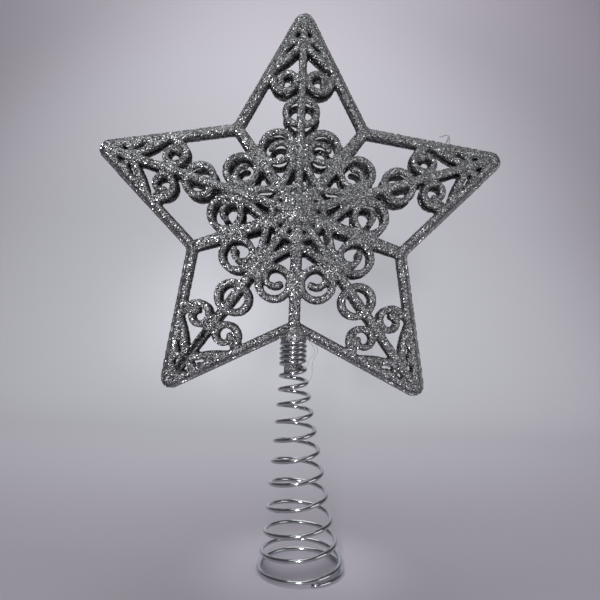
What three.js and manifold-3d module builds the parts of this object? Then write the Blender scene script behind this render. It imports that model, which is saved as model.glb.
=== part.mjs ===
// Filigree star tree topper on a conical wire spring.
// Millimetres, +Z up, the star's front faces -Y. The origin is on the ground at the spring's axis.
import * as THREE from 'three';
import { mergeVertices } from 'three/addons/utils/BufferGeometryUtils.js';
import Module from 'manifold-3d';

const wasm = await Module();
wasm.setup();

// Driving dimensions of the star: reaches are measured from its centre.
const TIP_REACH = 105;            // to the sharp point where two rim edges would meet
const CORNER_REACH = 53.9;        // to the inner corner between two arms
const ARMS = 5;
const TIP_ROUNDING = 5;           // radius of each arm's rounded end
const CORNER_ROUNDING = 2.6;      // radius in each inner corner, on the outside
const HUB_DEPTH = 12.3;           // from the parting plane to the top of the hub
const RIM_DEPTH = 3.4;            // from the parting plane to the top of the rim
const RIM_WIDTH = 5.2;
const FLANGE_WIDTH = 1.6;         // the rim's lip at the parting plane
const FLANGE_DEPTH = 1.2;
const RIM_DRAFT = 0.8;            // lean of the rim's two sides
const ROD_DEPTH = 3.2;            // depth of the scrollwork from its top to its open back
const RIDGE_WIDTH = 3.8;
const RIB_WIDTH = 5;
const RIB_SINK = 0.3;             // how far below the ridges' crowns the ribs' crowns lie
const SCROLL_WIDTH = 3.6;         // width of a scroll where it starts
const SCROLL_END_WIDTH = 2.8;     // width just before its end
const SCROLL_SINK = 0.55;         // how far below the ridges' crowns a scroll starts
const SCROLL_END_SINK = 1;        // and ends
const BULB_WIDTH = 3.2;           // width of the small bulb at its end
const RING_WIDTH = 3.4;
const RING_SINK = 0.4;

// Places and sizes of the ornaments in one arm.
const SPIRAL_REACH = 33.1;        // centre of the large spiral, midway between ridge and rib
const SPIRAL_RADIUS = 7.1;
const SPIRAL_INNER_RADIUS = 4.3;
const SPIRAL_TURN = 260;          // degrees, at the full radius
const SPIRAL_INNER_TURN = 240;    // and then at the inner one
const STEM_REACH = 17.4;          // where the large spiral's stem is farthest from the ridge
const STEM_OFFSET = 6.15;
const RING_REACH = 48.1;
const RING_ALONG = 6.6;            // the ring is an ellipse: along the ridge
const RING_ACROSS = 7.2;           // and across it
const SCROLL_REACH = 64.2;        // centre of the outer scroll, along the ridge
const SCROLL_OFFSET = 7.6;        // and beside it
const SCROLL_RADIUS = 6.5;
const SCROLL_END_RADIUS = 1.8;
const SCROLL_TURN = 458;
const HOOK_REACH = 82;
const HOOK_OFFSET = 4.3;
const HOOK_RADIUS = 2.5;
const HOOK_END_RADIUS = 1.9;
const HOOK_TURN = 260;
const HOOK_ROOT = 68.8;           // where the hook's stem leaves the rim

// Driving dimensions of the spring and of what joins it to the star.
const WIRE = 1.6;                 // wire diameter
const FOOT_RADIUS = 18.7;         // to the wire's middle
const NECK_RADIUS = 5.4;
const FLAT_TURNS = 0.7;           // the wire lies on the ground so far, then it passes over its own end
const LOWER_TURNS = 2.95;         // turns whose pitch widens
const UPPER_TURNS = 8.05;         // turns whose pitch narrows again
const TIGHT_TURNS = 3.9;
const FOOT_PITCH = 7.6;           // pitch where the wire leaves the ground
const WIDE_PITCH = 10.8;          // the widest pitch
const NECK_PITCH = 5.1;            // pitch just below the tight turns
const TIGHT_PITCH = 2.2;
const CONE_POWER = 1.52;          // how fast the cone opens towards its foot
const LEAN = 6.5;                 // how far the bent wire's foot stands to the right of the star's axis
const COIL_TILT = 0.038;           // rise of the open turns towards the right, per length
const FOOT_FLAT = 0.5;            // depth of the flat that the spring stands on
const FOOT_START = 310;           // bearing of the wire's lower end, degrees
const PEG_RADIUS = 4.05;
const PEG_BELOW_BOSS = 14.6;
const PEG_IN_BOSS = 6.6;
const PEG_CHAMFER = 0.5;
const BOSS_WALL = 1.85;
const BOSS_DROP = 4.2;            // how far the boss stands out below the inner corner
const BOSS_SHOULDER = 2.2;        // roof of the boss over the peg's socket

// Fits.
const SEAT = 0.3;                 // gap between pieces that seat on each other

const SPIRAL_STEPS = 10;
const SCROLL_STEPS = 8;
const HOOK_STEPS = 4;
const RING_STEPS = 5;
const TIP_STEPS = 5;
const CORNER_STEPS = 3;
const COIL_STEPS = 8;
const COIL_SIDES = 5;
const LATHE_STEPS = 20;

const rad = THREE.MathUtils.degToRad;
const ARM_ANGLE = 2 * Math.PI / ARMS;
const HALF_ARM = ARM_ANGLE / 2;
const cornerAlong = CORNER_REACH * Math.cos(HALF_ARM);
const cornerAside = CORNER_REACH * Math.sin(HALF_ARM);
const TIP_HALF_ANGLE = Math.atan2(cornerAside, TIP_REACH - cornerAlong);
const EDGE_REACH = TIP_REACH * Math.sin(TIP_HALF_ANGLE);   // from the centre square to a rim edge
const PARTING = SEAT / 2;

// The spring's heights, and the star's place above them.
const OPEN_TURNS = FLAT_TURNS + LOWER_TURNS + UPPER_TURNS;
const ALL_TURNS = OPEN_TURNS + TIGHT_TURNS;
const FOOT_Z = WIRE / 2 - FOOT_FLAT;
const SPRING_TOP = wireHeight(ALL_TURNS) + WIRE / 2;
const BOSS_BOTTOM = SPRING_TOP + SEAT;
const STAR_Z = BOSS_BOTTOM + BOSS_DROP + CORNER_REACH;

// A closed geometry as a solid, and a solid as a geometry.
function solid(geometry) {
  const bare = geometry.clone();
  bare.deleteAttribute('normal');
  bare.deleteAttribute('uv');
  const merged = mergeVertices(bare, 1e-5);
  const mesh = new wasm.Mesh({
    numProp: 3,
    vertProperties: new Float32Array(merged.attributes.position.array),
    triVerts: new Uint32Array(merged.index.array),
  });
  return new wasm.Manifold(mesh);
}

function surface(body) {
  const mesh = body.getMesh();
  const geometry = new THREE.BufferGeometry();
  geometry.setAttribute('position', new THREE.BufferAttribute(mesh.vertProperties, 3));
  geometry.setIndex(new THREE.BufferAttribute(mesh.triVerts, 1));
  geometry.computeVertexNormals();
  return geometry;
}

// Rings of points, each joined to the next. Open strips get a cap at each end.
function skin(rings, closed) {
  const sides = rings[0].length;
  const points = rings.flat();
  const faces = [];
  const spans = closed ? rings.length : rings.length - 1;
  for (let i = 0; i < spans; i++) {
    const here = i * sides;
    const next = ((i + 1) % rings.length) * sides;
    for (let j = 0; j < sides; j++) {
      const k = (j + 1) % sides;
      faces.push(here + j, next + k, here + k);
      faces.push(here + j, next + j, next + k);
    }
  }
  if (!closed) {
    const last = (rings.length - 1) * sides;
    for (let j = 1; j < sides - 1; j++) {
      faces.push(0, j, j + 1);
      faces.push(last, last + j + 1, last + j);
    }
  }
  const geometry = new THREE.BufferGeometry();
  geometry.setAttribute('position', new THREE.Float32BufferAttribute(points.flatMap((p) => p.toArray()), 3));
  geometry.setIndex(faces);
  return geometry;
}

// A point of an arm: u along its ridge, v beside it, depth towards the front.
function armPoint(arm, u, v, depth) {
  const a = Math.PI / 2 - arm * ARM_ANGLE;
  return new THREE.Vector3(
    u * Math.cos(a) + v * Math.sin(a),
    -depth,
    STAR_Z + u * Math.sin(a) - v * Math.cos(a),
  );
}

// The star is a low pyramid: its top falls evenly from the hub to the rim.
function topDepth(u, v) {
  const edge = u * Math.sin(TIP_HALF_ANGLE) + Math.abs(v) * Math.cos(TIP_HALF_ANGLE);
  const share = THREE.MathUtils.clamp(edge / EDGE_REACH, 0, 1);
  return HUB_DEPTH + (RIM_DEPTH - HUB_DEPTH) * share;
}

// A moulded rod along points [u, v, width, sink] of an arm, narrower at its crown.
function rod(arm, path) {
  const rings = path.map(([u, v, width, sink], i) => {
    const before = path[Math.max(i - 1, 0)];
    const after = path[Math.min(i + 1, path.length - 1)];
    const length = Math.hypot(after[0] - before[0], after[1] - before[1]);
    const du = (after[0] - before[0]) / length;
    const dv = (after[1] - before[1]) / length;
    const crown = topDepth(u, v) - sink;
    const back = Math.max(PARTING, crown - ROD_DEPTH);
    const section = [[-0.5, back], [0.5, back], [0.3, crown], [-0.3, crown]];
    return section.map(([side, depth]) => (
      armPoint(arm, u - dv * side * width, v + du * side * width, depth)
    ));
  });
  return solid(skin(rings, false));
}

// A long curl passes close by itself, so it's joined from two rods.
function curl(arm, path) {
  const middle = Math.ceil(path.length / 2);
  return rod(arm, path.slice(0, middle + 1)).add(rod(arm, path.slice(middle)));
}

// A curl's rod gets narrower and lower along its way and ends in a bulb.
function curlPoint(centre, bearing, r, share) {
  const narrow = SCROLL_WIDTH + (SCROLL_END_WIDTH - SCROLL_WIDTH) * share;
  const width = share === 1 ? BULB_WIDTH : narrow;
  const sink = SCROLL_SINK + (SCROLL_END_SINK - SCROLL_SINK) * share;
  return [centre[0] + r * Math.cos(bearing), centre[1] + r * Math.sin(bearing), width, sink];
}

// A scroll winds from its starting radius to its end, slowly first.
function scroll(centre, start, turn, radius, endRadius, power, steps) {
  const path = [];
  for (let i = 0; i <= steps; i++) {
    const share = i / steps;
    const r = endRadius + (radius - endRadius) * (1 - share ** power);
    path.push(curlPoint(centre, rad(start + turn * share), r, share));
  }
  return path;
}

// Stem points lead to a scroll's first point.
const stem = (u, v) => [u, v, SCROLL_WIDTH, SCROLL_SINK];
const mirrored = (path) => path.map(([u, v, width, sink]) => [u, -v, width, sink]);

// The large spiral is two arcs that meet in one direction, the inner one with its centre moved.
function largeSpiral() {
  const middle = HALF_ARM / 2;
  const centre = [SPIRAL_REACH * Math.cos(middle), SPIRAL_REACH * Math.sin(middle)];
  const start = THREE.MathUtils.radToDeg(middle) - 65;
  const meeting = rad(start + SPIRAL_TURN);
  const shift = SPIRAL_RADIUS - SPIRAL_INNER_RADIUS;
  const inner = [centre[0] + shift * Math.cos(meeting), centre[1] + shift * Math.sin(meeting)];
  const turn = SPIRAL_TURN + SPIRAL_INNER_TURN;
  const wound = [];
  for (let i = 0; i <= SPIRAL_STEPS; i++) {
    const bearing = rad(start + turn * i / SPIRAL_STEPS);
    const full = bearing < meeting;
    const r = full ? SPIRAL_RADIUS : SPIRAL_INNER_RADIUS;
    wound.push(curlPoint(full ? centre : inner, bearing, r, i / SPIRAL_STEPS));
  }
  const [topReach, topOffset] = wound[0];
  const bend = stem((STEM_REACH + topReach) / 2, (STEM_OFFSET + topOffset) / 2);
  return [stem(STEM_REACH / 2, STEM_OFFSET / 2), stem(STEM_REACH, STEM_OFFSET), bend, ...wound];
}

// The outer scroll leaves the rim, passes the ridge and curls up inside itself.
function outerScroll() {
  const centre = [SCROLL_REACH, SCROLL_OFFSET];
  return scroll(centre, 68, SCROLL_TURN, SCROLL_RADIUS, SCROLL_END_RADIUS, 1.1, SCROLL_STEPS);
}

function tipHook() {
  const rimAside = (TIP_REACH - HOOK_ROOT) * Math.tan(TIP_HALF_ANGLE);
  const root = rimAside - RIM_WIDTH / 2 / Math.cos(TIP_HALF_ANGLE);
  const centre = [HOOK_REACH, HOOK_OFFSET];
  const wound = scroll(centre, 222, HOOK_TURN, HOOK_RADIUS, HOOK_END_RADIUS, 1.5, HOOK_STEPS);
  const bend = [(HOOK_ROOT + wound[0][0]) / 2, (root + wound[0][1]) / 2 - 0.8];
  return [stem(HOOK_ROOT, root), stem(...bend), ...wound];
}

function halfRing() {
  const path = [];
  for (let i = 0; i <= RING_STEPS; i++) {
    const bearing = Math.PI * i / RING_STEPS;
    const u = RING_REACH + RING_ALONG * Math.cos(bearing);
    path.push([u, RING_ACROSS * Math.sin(bearing), RING_WIDTH, RING_SINK]);
  }
  return path;
}

// The star's outline drawn in from its edge by an inset, always with the same number of points.
function outline(inset, depth) {
  const tipRadius = Math.max(TIP_ROUNDING - inset, 0.4);
  const tipCentre = TIP_REACH - (inset + tipRadius) / Math.sin(TIP_HALF_ANGLE);
  const cornerRadius = CORNER_ROUNDING + inset;
  const lean = Math.PI / 2 - TIP_HALF_ANGLE - HALF_ARM;
  const cornerCentre = CORNER_REACH + (cornerRadius - inset) / Math.cos(lean);
  const points = [];
  for (let arm = 0; arm < ARMS; arm++) {
    for (let i = 0; i <= TIP_STEPS; i++) {
      const bearing = (Math.PI / 2 - TIP_HALF_ANGLE) * (2 * i / TIP_STEPS - 1);
      const along = tipCentre + tipRadius * Math.cos(bearing);
      points.push(armPoint(arm, along, tipRadius * Math.sin(bearing), depth));
    }
    for (let i = 0; i <= CORNER_STEPS; i++) {
      const bearing = HALF_ARM + lean * (1 - 2 * i / CORNER_STEPS);
      const u = cornerCentre * Math.cos(HALF_ARM) - cornerRadius * Math.cos(bearing);
      const v = cornerCentre * Math.sin(HALF_ARM) - cornerRadius * Math.sin(bearing);
      points.push(armPoint(arm, u, v, depth));
    }
  }
  return points;
}

// The rim is a bead on a wider flat lip, so the front of each half steps in from the joint.
function rim() {
  const section = [
    [0, PARTING],
    [RIM_WIDTH, PARTING],
    [RIM_WIDTH - RIM_DRAFT, RIM_DEPTH],
    [FLANGE_WIDTH + RIM_DRAFT, RIM_DEPTH],
    [FLANGE_WIDTH, FLANGE_DEPTH],
    [0, FLANGE_DEPTH],
  ];
  const loops = section.map(([inset, depth]) => outline(inset, depth));
  const rings = loops[0].map((_, i) => loops.map((loop) => loop[i]));
  return solid(skin(rings, true));
}

function turned(profile) {
  const points = profile.map(([r, z]) => new THREE.Vector2(r, z));
  const geometry = new THREE.LatheGeometry(points, LATHE_STEPS);
  geometry.rotateX(Math.PI / 2);
  return geometry;
}

// Each half carries half of the boss whose socket takes the peg.
function halfBoss() {
  const socket = PEG_RADIUS + SEAT;
  const outer = socket + BOSS_WALL;
  const socketTop = BOSS_BOTTOM + PEG_IN_BOSS + SEAT;
  const roof = socketTop + BOSS_SHOULDER;
  const body = solid(turned([[0, BOSS_BOTTOM], [outer, BOSS_BOTTOM], [outer, socketTop],
    [outer * 0.72, roof], [0, roof]]));
  const front = new THREE.BoxGeometry(outer * 4, outer * 2, outer * 8);
  front.translate(0, -outer - PARTING, BOSS_BOTTOM);
  return body.intersect(solid(front));
}

function pegSocket() {
  const socket = PEG_RADIUS + SEAT;
  const below = BOSS_BOTTOM - 1;
  const top = BOSS_BOTTOM + PEG_IN_BOSS + SEAT;
  return solid(turned([[0, below], [socket, below], [socket, top], [0, top]]));
}

function starHalf() {
  let half = rim();
  const tipEnd = TIP_REACH - TIP_ROUNDING / Math.sin(TIP_HALF_ANGLE);
  for (let arm = 0; arm < ARMS; arm++) {
    const ribEnd = CORNER_REACH - RIM_WIDTH / 2;
    // Both start a little past the centre, so that they cross one another there.
    const ridge = [[-RIDGE_WIDTH / 2, 0, RIDGE_WIDTH, 0], [tipEnd, 0, RIDGE_WIDTH, 0]];
    const rib = [-RIB_WIDTH / 3, ribEnd].map((reach) => (
      [reach * Math.cos(HALF_ARM), reach * Math.sin(HALF_ARM), RIB_WIDTH, RIB_SINK]
    ));
    half = half.add(rod(arm, ridge)).add(rod(arm, rib));
    for (const path of [largeSpiral(), outerScroll(), tipHook(), halfRing()]) {
      half = half.add(curl(arm, path)).add(curl(arm, mirrored(path)));
    }
  }
  return surface(half.add(halfBoss()).subtract(pegSocket()));
}

// Height of the wire's middle after some turns. The pitch changes evenly in each stretch.
function wireHeight(turns) {
  const climb = (start, count, from, to) => {
    const done = THREE.MathUtils.clamp(turns - start, 0, count);
    return done * from + (to - from) * done ** 2 / (2 * count);
  };
  const lower = climb(FLAT_TURNS, LOWER_TURNS, FOOT_PITCH, WIDE_PITCH);
  const upper = climb(FLAT_TURNS + LOWER_TURNS, UPPER_TURNS, WIDE_PITCH, NECK_PITCH);
  return FOOT_Z + lower + upper + climb(OPEN_TURNS, TIGHT_TURNS, TIGHT_PITCH, TIGHT_PITCH);
}

// The wire's middle line: a flat turn at the foot, then a cone that rises into the tight turns.
function wirePoint(turns) {
  const bearing = rad(FOOT_START) + 2 * Math.PI * turns;
  const share = THREE.MathUtils.clamp((turns - FLAT_TURNS) / (OPEN_TURNS - FLAT_TURNS), 0, 1);
  const r = NECK_RADIUS + (FOOT_RADIUS - NECK_RADIUS) * (1 - share) ** CONE_POWER;
  const z = wireHeight(turns);
  // The cone leans, so its open turns stand a little higher on the right.
  const tilted = THREE.MathUtils.clamp(Math.min(turns - FLAT_TURNS, ALL_TURNS - turns), 0, 1);
  const rise = COIL_TILT * tilted * r * Math.cos(bearing);
  // A chord of the faceted curl runs as far inside its arc as its ends stand outside.
  const spread = 2 * r / (1 + Math.cos(Math.PI / COIL_STEPS));
  const aside = LEAN * Math.max(0, 1 - (z - FOOT_Z) / (wireHeight(OPEN_TURNS) - FOOT_Z));
  return new THREE.Vector3(
    aside + spread * Math.cos(bearing),
    spread * Math.sin(bearing),
    z + rise,
  );
}

function wireMiddle() {
  const steps = Math.round(ALL_TURNS * COIL_STEPS);
  const points = [];
  for (let i = 0; i <= steps; i++) {
    points.push(wirePoint(ALL_TURNS * i / steps));
  }
  // Both ends run on straight for one wire diameter.
  const startWay = points[0].clone().sub(points[1]).normalize();
  const endWay = points[steps].clone().sub(points[steps - 1]).normalize();
  endWay.z = 0;
  points.unshift(points[0].clone().addScaledVector(startWay, WIRE));
  points.push(points[steps + 1].clone().addScaledVector(endWay.normalize(), WIRE));
  return points;
}

function wireSpring() {
  const middle = wireMiddle();
  const up = new THREE.Vector3(0, 0, 1);
  const rings = middle.map((point, i) => {
    const before = middle[Math.max(i - 1, 0)];
    const after = middle[Math.min(i + 1, middle.length - 1)];
    const along = after.clone().sub(before).normalize();
    const side = new THREE.Vector3().crossVectors(up, along).normalize();
    const rise = new THREE.Vector3().crossVectors(along, side);
    const ring = [];
    for (let j = 0; j < COIL_SIDES; j++) {
      const a = 2 * Math.PI * j / COIL_SIDES - Math.PI / 2;
      ring.push(point.clone()
        .addScaledVector(side, WIRE / 2 * Math.cos(a))
        .addScaledVector(rise, -WIRE / 2 * Math.sin(a)));
    }
    return ring;
  });
  const ground = new THREE.BoxGeometry(FOOT_RADIUS * 4, FOOT_RADIUS * 4, WIRE * 2);
  ground.translate(0, 0, -WIRE);
  return surface(solid(skin(rings, false)).subtract(solid(ground)));
}

// The least gap between two neighbouring curls, measured on points along the wire's middle.
function leastCurlGap() {
  const middle = wireMiddle();
  const samples = [];
  for (let i = 0; i < middle.length - 1; i++) {
    for (let k = 0; k < 4; k++) {
      samples.push(middle[i].clone().lerp(middle[i + 1], k / 4));
    }
  }
  let least = Infinity;
  for (let i = 0; i < samples.length; i++) {
    for (let j = i + COIL_STEPS * 2; j < samples.length; j++) {
      least = Math.min(least, samples[i].distanceTo(samples[j]));
    }
  }
  return least - WIRE;
}

function springPeg() {
  const low = BOSS_BOTTOM - PEG_BELOW_BOSS;
  const high = BOSS_BOTTOM + PEG_IN_BOSS;
  const slim = PEG_RADIUS - PEG_CHAMFER;
  return turned([[0, low], [slim, low], [PEG_RADIUS, low + PEG_CHAMFER],
    [PEG_RADIUS, high - PEG_CHAMFER], [slim, high], [0, high]]);
}

function piece(name, geometry, color, roughness, metalness) {
  const material = new THREE.MeshStandardMaterial({ color, roughness, metalness });
  const mesh = new THREE.Mesh(geometry, material);
  mesh.name = name;
  return mesh;
}

const half = starHalf();
const front = piece('star_front_half', half, 0xb4b6bb, 0.45, 0.6);
const back = piece('star_back_half', half.clone(), 0xa9abb0, 0.45, 0.6);
back.rotation.z = Math.PI;
const peg = piece('spring_peg', springPeg(), 0x9b9da2, 0.5, 0.4);
const spring = piece('wire_spring', wireSpring(), 0xd6d8dc, 0.12, 1);

console.log(`least gap between curls ${leastCurlGap().toFixed(3)} mm`);

const topper = new THREE.Group();
topper.add(front, back, peg, spring);

export default topper;
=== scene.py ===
# A filigree star tree topper: two silver-glittered star halves of moulded plastic, glued back
# to back over a peg, and a conical spring of bright wire that holds them on a tree's tip.
import math
import bpy
import numpy as np
from mathutils import Matrix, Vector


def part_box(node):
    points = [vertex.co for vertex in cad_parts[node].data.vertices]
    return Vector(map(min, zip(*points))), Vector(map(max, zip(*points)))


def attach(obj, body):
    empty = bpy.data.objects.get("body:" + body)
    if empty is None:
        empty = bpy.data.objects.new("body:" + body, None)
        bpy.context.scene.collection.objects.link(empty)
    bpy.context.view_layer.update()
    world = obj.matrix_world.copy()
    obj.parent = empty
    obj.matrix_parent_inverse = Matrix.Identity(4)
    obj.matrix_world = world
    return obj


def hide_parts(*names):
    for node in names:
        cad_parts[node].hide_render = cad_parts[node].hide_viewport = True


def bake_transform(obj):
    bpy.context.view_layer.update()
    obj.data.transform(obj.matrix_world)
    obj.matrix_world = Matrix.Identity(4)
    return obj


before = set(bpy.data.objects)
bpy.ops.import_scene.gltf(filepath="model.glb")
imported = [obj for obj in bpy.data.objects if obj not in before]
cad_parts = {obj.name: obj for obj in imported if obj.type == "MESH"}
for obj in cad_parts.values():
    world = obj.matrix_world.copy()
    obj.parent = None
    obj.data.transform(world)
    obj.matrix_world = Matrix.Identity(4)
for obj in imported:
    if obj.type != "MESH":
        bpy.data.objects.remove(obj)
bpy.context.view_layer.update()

# Wire spring. One length of bright steel wire is wound to the right from a foot ring that
# lies flat, up a cone that opens towards the foot, into close turns round the peg.
MM = 0.001
WIRE_RADIUS = 1.02 * MM
FOOT_RADIUS = 18.7 * MM
NECK_RADIUS = 5.4 * MM
FLAT_TURNS = 0.7
STRETCHES = ((2.95, 7.6 * MM, 10.8 * MM), (8.05, 10.8 * MM, 5.1 * MM), (4.4, 2.2 * MM, 2.2 * MM))
OPEN_TURNS = 11.7
ALL_TURNS = 16.1
WIRE_START = -0.072                # the cut end reaches a little past the crossing
CONE_POWER = 1.52
COIL_TILT = 0.038                 # rise of the open turns towards the right, per length
FOOT_BEARING = math.radians(310)
FOOT_HEIGHT = 0.3 * MM
FOOT_LIFT = 0.73 * MM             # so that the full round wire rests on the ground
SPRING_LEAN = 6.5 * MM            # the bent cone's foot stands this far to the right
WIRE_STEPS = 40                   # points in a turn
WIRE_SIDES = 14
WIRE_END = 0.3                    # share of its rounding that each cut end lacks
BLEND_FOOT, BLEND_NECK = 2 * MM, 1.2 * MM  # stretches above the foot and below the close turns


def wire_height(turn):
    """Height of the wire's middle: the sum, over the stretches, of the turns done in a stretch
    times their mean pitch so far, as the pitch changes evenly from its first value to its last."""
    height = np.full_like(turn, FOOT_HEIGHT)
    start = FLAT_TURNS
    for count, first, last in STRETCHES:
        done = np.clip(turn - start, 0, count)
        height = height + done * first + (last - first) * done ** 2 / (2 * count)
        start += count
    return height


def wire_middle(turn):
    """Middle line of the wire: the bearing grows by a full circle a turn, the radius falls from
    foot to neck with a power of the share still to climb, and the cone leans evenly aside."""
    share = np.clip((turn - FLAT_TURNS) / (OPEN_TURNS - FLAT_TURNS), 0, 1)
    radius = NECK_RADIUS + (FOOT_RADIUS - NECK_RADIUS) * (1 - share) ** CONE_POWER
    height = wire_height(turn)
    top = wire_height(np.array([OPEN_TURNS]))[0]
    still = np.clip(1 - (height - FOOT_HEIGHT) / (top - FOOT_HEIGHT), 0, 1)
    bearing = FOOT_BEARING + 2 * math.pi * turn
    lift = FOOT_LIFT * np.clip(1 - (height - FOOT_HEIGHT) / (14 * MM), 0, 1)
    tilted = np.clip(np.minimum(turn - FLAT_TURNS, ALL_TURNS - turn), 0, 1)
    lift = lift + COIL_TILT * tilted * radius * np.cos(bearing)
    return np.stack([SPRING_LEAN * still + radius * np.cos(bearing),
                     radius * np.sin(bearing), height + lift], axis=-1)


def along(points):
    """Unit way of a line at each of its points."""
    way = np.gradient(points, axis=0)
    return way / np.linalg.norm(way, axis=-1, keepdims=True)


def swept(points, up, radii, sides):
    """Rings of a round rod: each ring's two directions are the line's way crossed with up, and
    that crossed with the way again, and its points are middle + radius (cos, sin)."""
    way = along(points)
    side = np.cross(way, up)
    side = side / np.linalg.norm(side, axis=-1, keepdims=True)
    rise = np.cross(side, way)
    angle = np.linspace(0, 2 * math.pi, sides, endpoint=False)[None, :, None]
    ring = np.cos(angle) * side[:, None, :] + np.sin(angle) * rise[:, None, :]
    return points[:, None, :] + radii[:, None, None] * ring


def skin(rings, closed=False):
    """Corners and faces of rings joined each to the next. An open strip has a face on each end.
    The whole is turned round if its volume, the sum of corner triple products, is negative."""
    count, sides = rings.shape[:2]
    here = np.arange(count if closed else count - 1)[:, None] * sides
    there = (here + sides) % (count * sides)
    j = np.arange(sides)[None, :]
    k = (j + 1) % sides
    quads = np.stack([here + j, here + k, there + k, there + j], axis=-1).reshape(-1, 4)
    corners = rings.reshape(-1, 3)
    a, b, c, d = (corners[quads[:, i]] - corners.mean(axis=0) for i in range(4))
    volume = np.einsum("ij,ij->", a, np.cross(b, c)) + np.einsum("ij,ij->", a, np.cross(c, d))
    faces = quads.tolist()
    if not closed:
        faces.append(list(range(sides))[::-1])
        faces.append([(count - 1) * sides + i for i in range(sides)])
    if volume < 0:
        faces = [face[::-1] for face in faces]
    return corners, faces


def joined(shells):
    """Several shells as one set of corners and faces."""
    corners, faces, first = [], [], 0
    for some, their in shells:
        corners.append(some)
        faces.extend([[first + i for i in face] for face in their])
        first += len(some)
    return np.concatenate(corners), faces


def new_piece(name, corners, faces, material):
    """A mesh object at the origin with its place in its mesh."""
    mesh = bpy.data.meshes.new(name)
    mesh.from_pydata(corners.tolist(), [], faces)
    mesh.polygons.foreach_set("use_smooth", np.ones(len(mesh.polygons), bool))
    mesh.materials.append(material)
    mesh.update()
    piece = bpy.data.objects.new(name, mesh)
    bpy.context.collection.objects.link(piece)
    return piece


def new_material(name):
    """A node material, its nodes, its shader and a function that joins two sockets."""
    material = bpy.data.materials.new(name)
    material.use_nodes = True
    nodes = material.node_tree.nodes
    return material, nodes, nodes["Principled BSDF"], material.node_tree.links.new


wire_metal, nodes, shader, link = new_material("bright_wire")
shader.inputs["Metallic"].default_value = 1
shader.inputs["Base Color"].default_value = (0.55, 0.56, 0.58, 1)
place = nodes.new("ShaderNodeTexCoord")
drawn = nodes.new("ShaderNodeTexNoise")
drawn.inputs["Scale"].default_value = 900
drawn.inputs["Detail"].default_value = 3
link(place.outputs["Object"], drawn.inputs["Vector"])
dull = nodes.new("ShaderNodeMapRange")
dull.inputs["To Min"].default_value = 0.07
dull.inputs["To Max"].default_value = 0.18
link(drawn.outputs["Fac"], dull.inputs["Value"])
link(dull.outputs["Result"], shader.inputs["Roughness"])
marks = nodes.new("ShaderNodeBump")
marks.inputs["Strength"].default_value = 0.04
marks.inputs["Distance"].default_value = 0.05 * MM
link(drawn.outputs["Fac"], marks.inputs["Height"])
link(marks.outputs["Normal"], shader.inputs["Normal"])

turn = np.linspace(WIRE_START, ALL_TURNS, round(ALL_TURNS * WIRE_STEPS) + 1)
wire_line = wire_middle(turn)
reach = np.linspace(0, 1, len(wire_line))
end_share = np.minimum(reach, 1 - reach) * (len(wire_line) - 1) / 2
wire_radii = WIRE_RADIUS * np.sqrt(np.clip(1 - (1 - np.clip(end_share, WIRE_END, 1)) ** 2, 0, 1))
corners, faces = skin(swept(wire_line, np.array([0.0, 0, 1]), wire_radii, WIRE_SIDES))
spring = new_piece("bright_spring", corners, faces, wire_metal)
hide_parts("wire_spring")
tight_z = wire_height(np.array([OPEN_TURNS]))[0] - BLEND_NECK
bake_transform(spring)

# Peg. A turned plastic plug, coated like the star, stands in the boss and goes down inside the
# close turns, which grip it. Only its lower part shows between and under them.
PEG_RADIUS = 4.05 * MM
PEG_CHAMFER = 0.7 * MM
PEG_STEPS = 64
POLE_RADIUS = 0.05 * MM           # a turned end closes on a hole too small to see
GRAIN = 0.38 * MM                 # a glitter flake's width
BARE_SHARE = 0.75                 # how much of the bare plastic shows through stray flakes
BARE_COLOUR = (0.2, 0.2, 0.21, 1)


def turned(profile, steps, start=0.0, sweep=2 * math.pi):
    """Rings of a profile of (radius, height) turned about the star's upright axis."""
    angle = start + sweep * np.arange(steps) / (steps - (0 if sweep > 6.2 else 1))
    radius, height = np.array(profile).T
    return np.stack([np.outer(np.cos(angle), radius), np.outer(np.sin(angle), radius),
                     np.tile(height, (steps, 1))], axis=-1)


def group_input(group, name, kind, value):
    socket = group.interface.new_socket(name, in_out="INPUT", socket_type=kind)
    socket.default_value = value


glitter = bpy.data.node_groups.new("glitter_flakes", "ShaderNodeTree")
group_input(glitter, "Flake Width", "NodeSocketFloat", GRAIN)
group_input(glitter, "Dark", "NodeSocketColor", (0.02, 0.02, 0.022, 1))
group_input(glitter, "Bright", "NodeSocketColor", (0.85, 0.86, 0.88, 1))
group_input(glitter, "Tilt", "NodeSocketFloat", 0.7)
glitter.interface.new_socket("Color", in_out="OUTPUT", socket_type="NodeSocketColor")
glitter.interface.new_socket("Roughness", in_out="OUTPUT", socket_type="NodeSocketFloat")
glitter.interface.new_socket("Normal", in_out="OUTPUT", socket_type="NodeSocketVector")
gn = glitter.nodes
gl = glitter.links.new
given = gn.new("NodeGroupInput")
out = gn.new("NodeGroupOutput")
spot = gn.new("ShaderNodeTexCoord")
scale = gn.new("ShaderNodeMath")
scale.operation = "DIVIDE"
scale.inputs[0].default_value = 1
gl(given.outputs["Flake Width"], scale.inputs[1])
cells = gn.new("ShaderNodeTexVoronoi")
gl(spot.outputs["Object"], cells.inputs["Vector"])
gl(scale.outputs["Value"], cells.inputs["Scale"])
parts = gn.new("ShaderNodeSeparateColor")
gl(cells.outputs["Color"], parts.inputs["Color"])
shade = gn.new("ShaderNodeMath")
shade.operation = "POWER"
shade.inputs[1].default_value = 4
gl(parts.outputs["Red"], shade.inputs[0])
mix = gn.new("ShaderNodeMix")
mix.data_type = "RGBA"
gl(shade.outputs["Value"], mix.inputs["Factor"])
gl(given.outputs["Dark"], mix.inputs["A"])
gl(given.outputs["Bright"], mix.inputs["B"])
gl(mix.outputs["Result"], out.inputs["Color"])
rough = gn.new("ShaderNodeMapRange")
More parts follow.
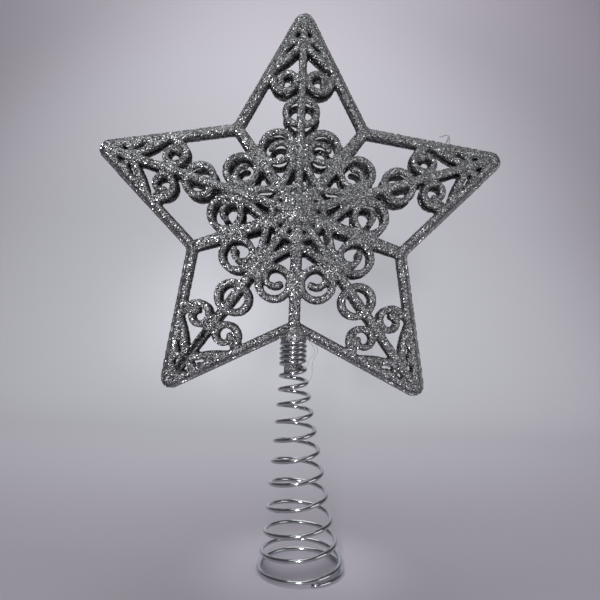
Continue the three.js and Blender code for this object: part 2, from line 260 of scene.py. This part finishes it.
rough.inputs["To Min"].default_value = 0.2
rough.inputs["To Max"].default_value = 0.6
gl(parts.outputs["Green"], rough.inputs["Value"])
gl(rough.outputs["Result"], out.inputs["Roughness"])
centred = gn.new("ShaderNodeVectorMath")
centred.operation = "SUBTRACT"
centred.inputs[1].default_value = (0.5, 0.5, 0.5)
gl(cells.outputs["Color"], centred.inputs[0])
lean = gn.new("ShaderNodeVectorMath")
lean.operation = "SCALE"
gl(centred.outputs["Vector"], lean.inputs[0])
gl(given.outputs["Tilt"], lean.inputs["Scale"])
facing = gn.new("ShaderNodeNewGeometry")
tilted = gn.new("ShaderNodeVectorMath")
tilted.operation = "ADD"
gl(facing.outputs["Normal"], tilted.inputs[0])
gl(lean.outputs["Vector"], tilted.inputs[1])
unit = gn.new("ShaderNodeVectorMath")
unit.operation = "NORMALIZE"
gl(tilted.outputs["Vector"], unit.inputs[0])
gl(unit.outputs["Vector"], out.inputs["Normal"])


def glittered(name, width, dark, bright, tilt, metallic):
    """A material coated with the glitter group's flakes. A point attribute of the mesh says how
    much darker the coat is painted there (painted shade, and on the front half a darker stripe),
    and bare says where plain even plastic shows."""
    material, nodes, shader, link = new_material(name)
    flakes = nodes.new("ShaderNodeGroup")
    flakes.node_tree = glitter
    flakes.inputs["Flake Width"].default_value = width
    flakes.inputs["Dark"].default_value = (*dark, 1)
    flakes.inputs["Bright"].default_value = (*bright, 1)
    flakes.inputs["Tilt"].default_value = tilt
    shader.inputs["Metallic"].default_value = metallic
    # Painted shade: the flakes' colour is scaled down by the share painted dark at each point.
    painted_darkening = nodes.new("ShaderNodeAttribute")
    painted_darkening.attribute_name = "painted_darkening"
    brightness_kept = nodes.new("ShaderNodeMath")
    brightness_kept.operation = "SUBTRACT"
    brightness_kept.inputs[0].default_value = 1
    link(painted_darkening.outputs["Fac"], brightness_kept.inputs[1])
    dimmed = nodes.new("ShaderNodeVectorMath")
    dimmed.operation = "SCALE"
    link(flakes.outputs["Color"], dimmed.inputs[0])
    link(brightness_kept.outputs["Value"], dimmed.inputs["Scale"])
    bald = nodes.new("ShaderNodeAttribute")
    bald.attribute_name = "bare"
    part = nodes.new("ShaderNodeMath")
    part.operation = "MULTIPLY"
    part.inputs[1].default_value = BARE_SHARE
    link(bald.outputs["Fac"], part.inputs[0])
    coat = nodes.new("ShaderNodeMix")
    coat.data_type = "RGBA"
    coat.inputs["B"].default_value = BARE_COLOUR
    link(part.outputs["Value"], coat.inputs["Factor"])
    link(dimmed.outputs["Vector"], coat.inputs["A"])
    link(coat.outputs["Result"], shader.inputs["Base Color"])
    link(flakes.outputs["Roughness"], shader.inputs["Roughness"])
    even = nodes.new("ShaderNodeNewGeometry")
    turned_back = nodes.new("ShaderNodeMix")
    turned_back.data_type = "VECTOR"
    link(part.outputs["Value"], turned_back.inputs["Factor"])
    link(flakes.outputs["Normal"], turned_back.inputs["A"])
    link(even.outputs["Normal"], turned_back.inputs["B"])
    link(turned_back.outputs["Result"], shader.inputs["Normal"])
    return material


peg_low, peg_high = (corner.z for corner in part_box("spring_peg"))
peg_profile = [(POLE_RADIUS, peg_low), (PEG_RADIUS - PEG_CHAMFER, peg_low),
               (PEG_RADIUS, peg_low + PEG_CHAMFER), (PEG_RADIUS, peg_high - PEG_CHAMFER),
               (PEG_RADIUS - PEG_CHAMFER, peg_high), (POLE_RADIUS, peg_high)]
peg_coat = glittered("peg_coat", GRAIN, (0.05, 0.05, 0.055), (0.6, 0.61, 0.63), 0.6, 0.35)
corners, faces = skin(turned(peg_profile, PEG_STEPS), closed=True)
peg = new_piece("coated_peg", corners, faces, peg_coat)
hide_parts("spring_peg")
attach(peg, "star")

# Star halves. Each is one moulding of open scrollwork: five arms with a rim, a ridge along
# each arm, a rib to each inner corner, and curls between them, all with a coat of glitter.
TIP_END = 98.98 * MM              # from the star's centre to the end of a rounded tip
STAR_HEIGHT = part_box("star_front_half")[1].z - TIP_END
TIP_REACH = 105 * MM              # to the sharp point where two rim edges would meet
CORNER_REACH = 53.9 * MM          # to the inner corner between two arms
ARMS = 5
ARM_ANGLE = 2 * math.pi / ARMS
HALF_ARM = ARM_ANGLE / 2
TIP_ROUNDING = 5 * MM
CORNER_ROUNDING = 2.6 * MM
HUB_DEPTH = 12.3 * MM             # from the parting plane to the top of the hub
RIM_DEPTH = 3.4 * MM              # and to the top of the rim
RIM_WIDTH = 5.2 * MM
LIP_WIDTH = 1.9 * MM              # the flat lip that the rim's bead stands on
LIP_DEPTH = 1.2 * MM
PARTING = 0.15 * MM
ROD_DEPTH = 3.2 * MM
RIDGE_WIDTH = 3.8 * MM
RIB_WIDTH = 5.3 * MM
RIB_SINK = 0.3 * MM
SCROLL_WIDTH = 3.4 * MM
SCROLL_END_WIDTH = 2.7 * MM
SCROLL_SINK = 0.55 * MM
SCROLL_END_SINK = 1.0 * MM
BULB_WIDTH = 3.2 * MM
RING_WIDTH = 3.3 * MM
RING_SINK = 0.4 * MM
CURVE_STEP = 0.6 * MM
ROD_SIDES = 14
VOXEL = 0.65 * MM
ROUGH = 0.14 * MM                 # how far the flakes stand out of true

TIP_HALF_ANGLE = math.atan2(CORNER_REACH * math.sin(HALF_ARM),
                            TIP_REACH - CORNER_REACH * math.cos(HALF_ARM))
EDGE_REACH = TIP_REACH * math.sin(TIP_HALF_ANGLE)


def arm_points(arm, u, v, depth):
    """Points of an arm: u along its ridge, v beside it, depth towards the front."""
    a = math.pi / 2 - arm * ARM_ANGLE
    return np.stack([u * math.cos(a) + v * math.sin(a), -depth,
                     STAR_HEIGHT + u * math.sin(a) - v * math.cos(a)], axis=-1)


def top_depth(u, v):
    """Top of the low pyramid: it falls evenly from the hub's depth to the rim's with the
    distance from the centre, measured square to the nearest rim edge."""
    edge = u * math.sin(TIP_HALF_ANGLE) + np.abs(v) * math.cos(TIP_HALF_ANGLE)
    return HUB_DEPTH + (RIM_DEPTH - HUB_DEPTH) * np.clip(edge / EDGE_REACH, 0, 1)


def smooth_line(points, step=CURVE_STEP):
    """Points an even step apart on the line through the given rows of (u, v, width, sink)."""
    points = np.array(points, float)
    length = np.concatenate([[0], np.cumsum(np.hypot(*np.diff(points[:, :2], axis=0).T))])
    even = np.linspace(0, length[-1], max(int(length[-1] / step), 2) + 1)
    return np.stack([np.interp(even, length, column) for column in points.T], axis=-1)


def rod(line):
    """Rings of a moulded rod in (u, v, depth): a rounded box section, width across and
    ROD_DEPTH deep, its crown sunk below the pyramid's top, closing at both ends."""
    u, v, width, sink = line.T
    way = along(line[:, :2])
    crown = top_depth(u, v) - sink
    back = np.maximum(crown - ROD_DEPTH, PARTING)
    near = np.minimum(np.arange(len(u)), np.arange(len(u))[::-1]) * CURVE_STEP / (width / 2)
    close = np.sqrt(1 - (1 - np.clip(near, 0.05, 1)) ** 2)[:, None]
    angle = np.linspace(0, 2 * math.pi, ROD_SIDES, endpoint=False)[None, :]
    across = np.sign(np.cos(angle)) * np.abs(np.cos(angle)) ** 0.8 / 2 * width[:, None] * close
    rise = np.sign(np.sin(angle)) * np.abs(np.sin(angle)) ** 0.8 / 2 * (crown - back)[:, None]
    middle = ((crown + back) / 2)[:, None]
    return np.stack([u[:, None] - way[:, 1:] * across, v[:, None] + way[:, :1] * across,
                     middle + rise * close], axis=-1)


def curled(line, lead=()):
    """Rows of (u, v, width, sink) of a curl: the rod gets narrower and lower along its (u, v) line
    and swells to a bulb over the last tenth. A lead of points before it makes its stem."""
    share = np.linspace(0, 1, len(line))
    width = SCROLL_WIDTH + (SCROLL_END_WIDTH - SCROLL_WIDTH) * share
    bulb = np.clip((share - 0.9) / 0.1, 0, 1)
    width = width + (BULB_WIDTH - width) * np.sin(bulb * math.pi / 2)
    sink = SCROLL_SINK + (SCROLL_END_SINK - SCROLL_SINK) * share
    wound = np.column_stack([line, width, sink])
    if len(lead) == 0:
        return smooth_line(wound)
    return smooth_line(np.concatenate([bent(lead, wound[0], wound[1]), wound]))


def arc(centre, radius, bearing):
    return np.column_stack([centre[0] + radius * np.cos(bearing),
                            centre[1] + radius * np.sin(bearing)])


def scroll(centre, start, turn, radius, end_radius, power):
    """The (u, v) line of a curl round its centre: the bearing grows evenly by turn, and the
    radius falls from radius to end_radius with one minus the share to a power."""
    share = np.linspace(0, 1, 80)
    r = end_radius + (radius - end_radius) * (1 - share ** power)
    return arc(centre, r, np.radians(start + turn * share))


def bent(lead, first, second):
    """Rows of a stem: a smooth curve through its lead points that meets the curl in the curl's
    own way, worked out as a cubic between each two neighbours."""
    knots = np.array([[*point, SCROLL_WIDTH, SCROLL_SINK] for point in lead] + [list(first)])
    ways = np.gradient(knots, axis=0)
    pull = np.linalg.norm((knots[-1] - knots[-2])[:2])
    ways[-1] = (second - first) / np.linalg.norm((second - first)[:2]) * pull
    t = np.linspace(0, 1, 12, endpoint=False)[:, None]
    spans = [(2 * t ** 3 - 3 * t ** 2 + 1) * a + (t ** 3 - 2 * t ** 2 + t) * wa
             + (3 * t ** 2 - 2 * t ** 3) * b + (t ** 3 - t ** 2) * wb
             for a, b, wa, wb in zip(knots, knots[1:], ways, ways[1:])]
    return np.concatenate(spans)


# The large spiral is two arcs that meet in one direction, the inner one with its centre moved.
SPIRAL_RADIUS, SPIRAL_INNER_RADIUS = 7.2 * MM, 4.3 * MM
spiral_centre = np.array([31.4, 10.6]) * MM
meeting = math.radians(213)
inner_centre = spiral_centre + (SPIRAL_RADIUS - SPIRAL_INNER_RADIUS) * np.array(
    [math.cos(meeting), math.sin(meeting)])
spiral_line = np.concatenate([
    arc(spiral_centre, SPIRAL_RADIUS, np.linspace(math.radians(-88), meeting, 70)[:-1]),
    arc(inner_centre, SPIRAL_INNER_RADIUS, np.linspace(meeting, math.radians(453), 50))])
large_spiral = curled(spiral_line, lead=((12.6 * MM, 7.6 * MM), (18.8 * MM, 4.9 * MM),
                                         (24 * MM, 3.2 * MM)))
outer_scroll = curled(scroll((64.2 * MM, 7.6 * MM), 62, 464, 6.5 * MM, 1.8 * MM, 1.1))
tip_hook = curled(scroll((82 * MM, 4.3 * MM), 222, 260, 2.5 * MM, 1.9 * MM, 1.5),
                  lead=((68.8 * MM, 15.7 * MM), (74.5 * MM, 8.2 * MM)))
RING_REACH = 48.1 * MM
half_turn = np.linspace(0, math.pi, 40)
half_ring = smooth_line(np.stack([RING_REACH + 6.6 * MM * np.cos(half_turn),
                                  7.2 * MM * np.sin(half_turn),
                                  np.full(40, RING_WIDTH), np.full(40, RING_SINK)], axis=-1))
hub_ring = curled(arc((0, 0), 11.7 * MM, np.linspace(-HALF_ARM - 0.1, HALF_ARM + 0.1, 40)))
tip_end = TIP_REACH - TIP_ROUNDING / math.sin(TIP_HALF_ANGLE)
ridge = smooth_line([(-RIDGE_WIDTH / 2, 0, RIDGE_WIDTH, 0), (tip_end, 0, RIDGE_WIDTH, 0)])
rib_way = np.array([math.cos(HALF_ARM), math.sin(HALF_ARM)])
rib = smooth_line([(*(reach * rib_way), RIB_WIDTH, RIB_SINK)
                   for reach in (-RIB_WIDTH / 3, CORNER_REACH - RIM_WIDTH / 2)])


def outline(inset, steps=16):
    """The star's edge drawn in by an inset, as (arm, u, v) rows: an arc round each tip, whose
    radius shrinks by the inset, and one in each inner corner, whose radius grows by it."""
    tip_radius = max(TIP_ROUNDING - inset, 0.4 * MM)
    tip_centre = TIP_REACH - (inset + tip_radius) / math.sin(TIP_HALF_ANGLE)
    corner_radius = CORNER_ROUNDING + inset
    lean = math.pi / 2 - TIP_HALF_ANGLE - HALF_ARM
    corner_centre = CORNER_REACH + (corner_radius - inset) / math.cos(lean)
    share = np.linspace(-1, 1, steps)
    tip = (math.pi / 2 - TIP_HALF_ANGLE) * share
    corner = HALF_ARM - lean * share
    u = np.concatenate([tip_centre + tip_radius * np.cos(tip),
                        corner_centre * math.cos(HALF_ARM) - corner_radius * np.cos(corner)])
    v = np.concatenate([tip_radius * np.sin(tip),
                        corner_centre * math.sin(HALF_ARM) - corner_radius * np.sin(corner)])
    return u, v


def rim(section):
    """Rings of a closed band round the star: a section of (inset, depth) carried along the
    outline, each inset on the outline drawn in by it."""
    loops = []
    for inset, depth in section:
        u, v = outline(inset)
        loops.append(np.concatenate([arm_points(arm, u, v, np.full(len(u), depth))
                                     for arm in range(ARMS)]))
    return np.stack(loops, axis=1)


def rounded_section(low, high, base, top, corner, steps=5):
    """A box section in (inset, depth) with its two upper corners rounded."""
    bow = np.linspace(0, math.pi / 2, steps)
    left = np.stack([low + corner - corner * np.cos(bow), top - corner + corner * np.sin(bow)], 1)
    right = np.stack([high - corner + corner * np.sin(bow), top - corner + corner * np.cos(bow)],
                     1)
    return np.concatenate([[[low, base]], left, right, [[high, base]]])


boss_low = STAR_HEIGHT - CORNER_REACH - 4.2 * MM
socket_radius = 4.35 * MM
boss_radius = socket_radius + 0.9 * MM
socket_top = boss_low + 6.9 * MM
boss_section = [(socket_radius, boss_low), (boss_radius - 0.5 * MM, boss_low),
                (boss_radius, boss_low + 0.5 * MM), (boss_radius, socket_top),
                (boss_radius * 0.5, socket_top + 1.6 * MM), (0.1 * MM, socket_top + 1.6 * MM),
                (0.1 * MM, socket_top), (socket_radius, socket_top)]


def half_shells():
    """All the front half's rods, bands and half boss as closed shells that run into each other."""
    shells = [skin(rim(rounded_section(0, LIP_WIDTH + 1 * MM, PARTING, LIP_DEPTH, 0.4 * MM)),
                   closed=True),
              skin(rim(rounded_section(LIP_WIDTH, RIM_WIDTH, PARTING, RIM_DEPTH, 1.3 * MM)),
                   closed=True),
              skin(turned(boss_section, 25, start=-math.pi + 0.02, sweep=math.pi - 0.04))]
    for line, both in ((large_spiral, True), (outer_scroll, True), (tip_hook, True),
                       (half_ring, True), (hub_ring, False), (ridge, False), (rib, False)):
        rings = rod(line)
        for side in ((1, -1) if both else (1,)):
            for arm in range(ARMS):
                shells.append(skin(arm_points(arm, rings[..., 0], side * rings[..., 1],
                                              rings[..., 2])))
    return shells


def one_skin(name, shells, material):
    """Shells that run into each other as one even skin: the space they fill is cut into small
    cubes, and the skin is drawn round the filled ones and smoothed."""
    corners, faces = joined(shells)
    rough = new_piece(name + "_rough", corners, faces, material)
    cut = rough.modifiers.new("cut", "REMESH")
    cut.mode = "VOXEL"
    cut.voxel_size = VOXEL
    drawn = bpy.data.meshes.new_from_object(
        rough.evaluated_get(bpy.context.evaluated_depsgraph_get()))
    bpy.data.objects.remove(rough)
    drawn.name = name
    return drawn


front_mesh = one_skin("front", half_shells(), peg_coat)
skin_points = np.empty(len(front_mesh.vertices) * 3)
front_mesh.vertices.foreach_get("co", skin_points)
skin_points = skin_points.reshape(-1, 3)
skin_ways = np.empty(len(front_mesh.vertices) * 3)
front_mesh.vertices.foreach_get("normal", skin_ways)
skin_ways = skin_ways.reshape(-1, 3)
star_coat = glittered("star_coat", GRAIN, (0.075, 0.076, 0.08), (0.9, 0.91, 0.94), 0.9, 0.8)

# Painted shade: the coat is painted darker down the rods' sides, growing smoothly from nothing
# near their crowns to its full share at SIDE_END below the pyramid's top, and a darker stripe is
# painted on one ridge's crown between two reaches. The rim's flat lip is bare and gets no painted
# shade: its plastic shows through a thin coat.
SIDE_START, SIDE_END = 0.7224 * MM, 2.4024 * MM
SIDE_SHADE, STRIPE_DARKNESS = 0.42, 0.9
LIP_FADE, STRIPE_FADE, STRIPE_END_FADE = 0.3 * MM, 0.4 * MM, 2 * MM
STRIPE_ARM, STRIPE_FROM, STRIPE_TO, STRIPE_HALF_WIDTH = 3, 66 * MM, 91 * MM, 1.3 * MM
up_share = skin_points[:, 2] - STAR_HEIGHT
from_ridge = (np.arctan2(skin_points[:, 0], up_share) + HALF_ARM) % ARM_ANGLE - HALF_ARM
reach = np.hypot(skin_points[:, 0], up_share)
edge = reach * np.sin(TIP_HALF_ANGLE + np.abs(from_ridge))
crown = HUB_DEPTH + (RIM_DEPTH - HUB_DEPTH) * np.clip(edge / EDGE_REACH, 0, 1)
sunk = np.clip((crown + skin_points[:, 1] - SIDE_START) / (SIDE_END - SIDE_START), 0, 1)
bare = np.clip((LIP_WIDTH - (EDGE_REACH - edge)) / LIP_FADE, 0, 1)
painted_darkening = SIDE_SHADE * sunk ** 2 * (3 - 2 * sunk) * (1 - bare)
# A darker stripe is painted along the crown of one arm's ridge, between two reaches from the
# centre.
arm_way = math.pi / 2 - STRIPE_ARM * ARM_ANGLE
along_arm = skin_points[:, 0] * math.cos(arm_way) + up_share * math.sin(arm_way)
beside_arm = skin_points[:, 0] * math.sin(arm_way) - up_share * math.cos(arm_way)
inside = np.minimum(along_arm - STRIPE_FROM, STRIPE_TO - along_arm) / STRIPE_END_FADE
near_ridge = (STRIPE_HALF_WIDTH - np.abs(beside_arm)) / STRIPE_FADE
dark_stripe = np.clip(inside, 0, 1) * np.clip(near_ridge, 0, 1) * (sunk < 0.5)


def coated_half(name, node, half_turn_round, seed, darkening):
    """A half with its flakes: each point stands out of the even skin by its own random part of
    ROUGH, and the back half is the front one turned half round the upright axis. The last argument
    says how much darker the coat is painted at each point."""
    rng = np.random.default_rng(seed)
    stand = rng.uniform(-1, 1, len(skin_points))[:, None] * ROUGH
    points = skin_points + skin_ways * stand
    points[:, 1] = np.minimum(points[:, 1], -PARTING)
    if half_turn_round:
        points = points * np.array([-1, -1, 1])
    mesh = front_mesh.copy()
    mesh.vertices.foreach_set("co", points.ravel())
    mesh.attributes.new("painted_darkening", "FLOAT", "POINT").data.foreach_set("value", darkening)
    mesh.attributes.new("bare", "FLOAT", "POINT").data.foreach_set("value", bare)
    mesh.materials.clear()
    mesh.materials.append(star_coat)
    mesh.polygons.foreach_set("use_smooth", np.zeros(len(mesh.polygons), bool))
    mesh.update()
    piece = bpy.data.objects.new(name, mesh)
    bpy.context.collection.objects.link(piece)
    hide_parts(node)
    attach(piece, "star")


coated_half("front_filigree", "star_front_half", False, 11, np.maximum(painted_darkening, STRIPE_DARKNESS * dark_stripe))
coated_half("back_filigree", "star_back_half", True, 12, painted_darkening)
bpy.data.meshes.remove(front_mesh)

# Glue. A lumpy bead of set glue with flakes in it closes the boss round the spring's top turn,
# fine strings of it run from the rim to the turns below, and a curl of it stands on the right
# arm's upper edge.
set_glue, nodes, shader, link = new_material("set_glue")
place = nodes.new("ShaderNodeTexCoord")
cloud = nodes.new("ShaderNodeTexNoise")
cloud.inputs["Scale"].default_value = 500
cloud.inputs["Detail"].default_value = 2
link(place.outputs["Object"], cloud.inputs["Vector"])
tone = nodes.new("ShaderNodeMix")
tone.data_type = "RGBA"
tone.inputs["A"].default_value = (0.07, 0.07, 0.075, 1)
tone.inputs["B"].default_value = (0.4, 0.405, 0.42, 1)
link(cloud.outputs["Fac"], tone.inputs["Factor"])
link(tone.outputs["Result"], shader.inputs["Base Color"])
gloss = nodes.new("ShaderNodeMapRange")
gloss.inputs["To Min"].default_value = 0.12
gloss.inputs["To Max"].default_value = 0.4
link(cloud.outputs["Fac"], gloss.inputs["Value"])
link(gloss.outputs["Result"], shader.inputs["Roughness"])

BEAD_LOW, BEAD_HIGH = boss_low - 0.2 * MM, boss_low + 3.9 * MM
BEAD_RADIUS, BEAD_SWELL = 5.5 * MM, 0.45 * MM
LUMPS, LUMP = 5, 0.035            # wide lumps round the bead, and their height per radius
WAVES, WAVE = 9, 0.03             # and the narrower waves over them
BEAD_STEPS, BEAD_SIDES = 96, 20
bead_coat = glittered("bead_coat", GRAIN, (0.05, 0.05, 0.055), (0.8, 0.81, 0.84), 0.5, 0.5)
round_bead = np.linspace(0, 2 * math.pi, BEAD_STEPS, endpoint=False)[:, None]
over_bead = np.linspace(0, 2 * math.pi, BEAD_SIDES, endpoint=False)[None, :]
# The bead's radius: one, plus the lumps' and the waves' sines, times BEAD_RADIUS, plus its bulge.
swell = BEAD_RADIUS * (1 + LUMP * np.sin(LUMPS * round_bead + 0.6) + WAVE * np.sin(
    WAVES * round_bead + 2 * over_bead)) + BEAD_SWELL * np.cos(over_bead)
bead_height = (BEAD_LOW + BEAD_HIGH) / 2 + (BEAD_HIGH - BEAD_LOW) / 2 * np.sin(over_bead)
bead_rings = np.stack([swell * np.cos(round_bead), swell * np.sin(round_bead),
                       bead_height + 0 * round_bead], axis=-1)
corners, faces = skin(bead_rings, closed=True)
bead = new_piece("glue_bead", corners, faces, bead_coat)
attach(bead, "star")


STRING_RADIUS, CURL_RADIUS, CURL_FOOT_RADIUS = 0.1 * MM, 0.22 * MM, 0.3 * MM
STRAND_STEP, STRAND_SIDES = 0.25 * MM, 6
MEAN_OF = 9                       # points on a strand that are averaged


def strand(points, radius):
    """A thin string near points in millimetres: even points on the broken line, each then the
    mean of itself and its neighbours, and a radius that tapers to a half at both ends."""
    points = np.array(points, float) * MM
    length = np.concatenate([[0], np.cumsum(np.linalg.norm(np.diff(points, axis=0), axis=1))])
    even = np.linspace(0, length[-1], max(int(length[-1] / STRAND_STEP), 8) + 1)
    line = np.stack([np.interp(even, length, column) for column in points.T], axis=-1)
    beside = MEAN_OF // 2
    padded = np.concatenate([np.repeat(line[:1], beside, 0), line,
                             np.repeat(line[-1:], beside, 0)])
    line = np.stack([np.convolve(column, np.full(MEAN_OF, 1 / MEAN_OF), "valid")
                     for column in padded.T], -1)
    share = np.linspace(0, 1, len(line))
    radii = radius * (0.5 + 0.5 * np.sin(math.pi * share) ** 0.5)
    return skin(swept(line, np.array([0.0, 1, 0]), radii, STRAND_SIDES))


corners, faces = joined([
    strand([(6.7, -1, 102.8), (7.1, -1, 101.7), (9.5, -1, 98.6), (10.2, -1, 96.5),
            (8.7, -1, 94.4), (7.2, -1, 92.5), (6.8, -1, 89.8)], STRING_RADIUS),
    strand([(8.1, -1, 102.4), (8.5, -1, 101.7), (11.1, -1, 98.8), (11.4, -1, 96.8),
            (9.4, -1, 93.3), (8.8, -1, 90.3), (9.1, -1, 86.7), (7.9, -1, 83.0),
            (6.9, -1, 81.4)], STRING_RADIUS)])
strings = new_piece("glue_strings", corners, faces, set_glue)
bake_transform(strings)

corners, faces = joined([
    strand([(68.0, -2, 195.6), (68.5, -2, 196.9), (69.4, -2, 198.4), (69.3, -2, 200.2)],
           CURL_FOOT_RADIUS),
    strand([(69.9, -2, 195.2), (69.7, -2, 196.6), (70.1, -2, 198.9), (69.1, -2, 200.3),
            (67.7, -2, 200.2), (66.6, -2, 199.3), (64.7, -2, 199.2)], CURL_RADIUS)])
curl = new_piece("glue_curl", corners, faces, set_glue)
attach(curl, "star")

# Floor and backdrop. One pale matt sweep of paper runs from under the spring up behind the star.
# Its colour holds a painted pool of light, palest low behind the star a little to the left and
# darker further off, and painted light round the foot that lifts the shadow there.
SWEEP_FRONT, SWEEP_BACK, SWEEP_BEND = -0.2, 0.62, 0.3
SWEEP_HALF_WIDTH, SWEEP_TOP = 0.8, 0.95
bow = np.linspace(0, math.pi / 2, 16)
run_y = np.concatenate([[SWEEP_FRONT], SWEEP_BACK - SWEEP_BEND + SWEEP_BEND * np.sin(bow),
                        [SWEEP_BACK]])
run_z = np.concatenate([[0], SWEEP_BEND - SWEEP_BEND * np.cos(bow), [SWEEP_TOP]])
run_x = np.linspace(-SWEEP_HALF_WIDTH, SWEEP_HALF_WIDTH, 2)
grid = np.stack([np.tile(run_x, (len(run_y), 1)), np.tile(run_y[:, None], (1, 2)),
                 np.tile(run_z[:, None], (1, 2))], axis=-1)
paper, nodes, shader, link = new_material("pale_paper")
shader.inputs["Roughness"].default_value = 0.9
place = nodes.new("ShaderNodeTexCoord")
# Painted pool of light: the paper's colour is palest near this point and darker further off. The
# ramp also gives the paper a slight blue tint.
pool = nodes.new("ShaderNodeVectorMath")
pool.operation = "DISTANCE"
pool.inputs[1].default_value = (-0.08, 0.7, 0.03)
link(place.outputs["Object"], pool.inputs[0])
tint_and_light_pool = nodes.new("ShaderNodeValToRGB")
tint_and_light_pool.color_ramp.interpolation = "B_SPLINE"
for metres, grey, green in ((0.15, 0.87, 1), (0.22, 0.78, 1), (0.28, 0.68, 1), (0.35, 0.67, 1),
                            (0.5, 0.67, 0.99), (0.6, 0.59, 0.96), (0.7, 0.46, 0.95),
                            (0.85, 0.47, 0.91)):
    stop = tint_and_light_pool.color_ramp.elements.new(metres)
    stop.color = (grey, grey * green, grey * 1.07, 1)
tint_and_light_pool.color_ramp.elements[0].color = (0.92, 0.92, 0.96, 1)
tint_and_light_pool.color_ramp.elements[-1].color = (0.36, 0.32, 0.38, 1)
link(pool.outputs["Value"], tint_and_light_pool.inputs["Fac"])
# Painted light round the foot: near the foot the paper's colour is made up to 1.45 times paler,
# which lifts the shadow there.
foot_pool = nodes.new("ShaderNodeVectorMath")
foot_pool.operation = "DISTANCE"
foot_pool.inputs[1].default_value = (SPRING_LEAN, 0, 0)
link(place.outputs["Object"], foot_pool.inputs[0])
painted_foot_light = nodes.new("ShaderNodeMapRange")
painted_foot_light.interpolation_type = "SMOOTHSTEP"
for socket, value in (("From Min", 0.008), ("From Max", 0.06), ("To Min", 1.45), ("To Max", 1)):
    painted_foot_light.inputs[socket].default_value = value
link(foot_pool.outputs["Value"], painted_foot_light.inputs["Value"])
paper_with_painted_light = nodes.new("ShaderNodeVectorMath")
paper_with_painted_light.operation = "SCALE"
link(tint_and_light_pool.outputs["Color"], paper_with_painted_light.inputs[0])
link(painted_foot_light.outputs["Result"], paper_with_painted_light.inputs["Scale"])
link(paper_with_painted_light.outputs["Vector"], shader.inputs["Base Color"])
strips = [[2 * i, 2 * i + 1, 2 * i + 3, 2 * i + 2] for i in range(len(run_y) - 1)]
sweep = new_piece("paper_sweep", grid.reshape(-1, 3), strips, paper)

# Lights. A small soft box before the star, a wide one overhead, a low fill from the right, one
# on the backdrop, and a dim room all round that the wire mirrors as its dark bands.
world = bpy.data.worlds.new("studio")
bpy.context.scene.world = world
world.use_nodes = True
world.node_tree.nodes["Background"].inputs["Color"].default_value = (0.5, 0.51, 0.54, 1)
world.node_tree.nodes["Background"].inputs["Strength"].default_value = 0.16


def stood(right, up, back, place):
    """The matrix of something at place whose own axes point right, up and back."""
    return Matrix([[right[i], up[i], back[i], place[i]] for i in range(3)] + [[0, 0, 0, 1]])


def soft_box(name, place, target, size, power):
    """A square lamp at place that shines towards target."""
    lamp = bpy.data.lights.new(name, "AREA")
    lamp.size = size
    lamp.energy = power
    box = bpy.data.objects.new(name, lamp)
    bpy.context.collection.objects.link(box)
    back = np.array(place, float) - np.array(target, float)
    back = back / np.linalg.norm(back)
    side = np.cross([0, 0, 1], back)
    side = side / np.linalg.norm(side)
    box.matrix_world = stood(side, np.cross(back, side), back, place)


soft_box("front_box", (-0.04, -0.8, 0.14), (0, 0, 0.13), 0.1, 5)
soft_box("top_box", (-0.1, -0.4, 0.9), (0, 0, 0.1), 0.7, 1.3)
soft_box("right_fill", (0.8, -0.4, 0.15), (0, 0, 0.13), 0.5, 1.2)
soft_box("paper_light", (-0.02, 0.2, 1.0), (0, 0.62, 0.35), 0.6, 3.4)

# Camera. It stands before the spring's upper part and looks up a little, with a slight roll.
FOCAL = 510 / 600 * 36            # millimetres, on a sensor 36 mm wide
camera_data = bpy.data.cameras.new("camera")
camera_data.sensor_width = 36
camera_data.lens = FOCAL
camera = bpy.data.objects.new("camera", camera_data)
bpy.context.collection.objects.link(camera)
right = (0.99943, -0.00029, 0.03377)
up = (-0.03371, -0.06523, 0.99730)
forward = (-0.00191, 0.99787, 0.06520)
stand = (2.78 * MM, -235.89 * MM, STAR_HEIGHT - 54.18 * MM)
camera.matrix_world = stood(right, up, -np.array(forward), stand)
bpy.context.scene.camera = camera
bpy.context.scene.view_settings.view_transform = "Standard"
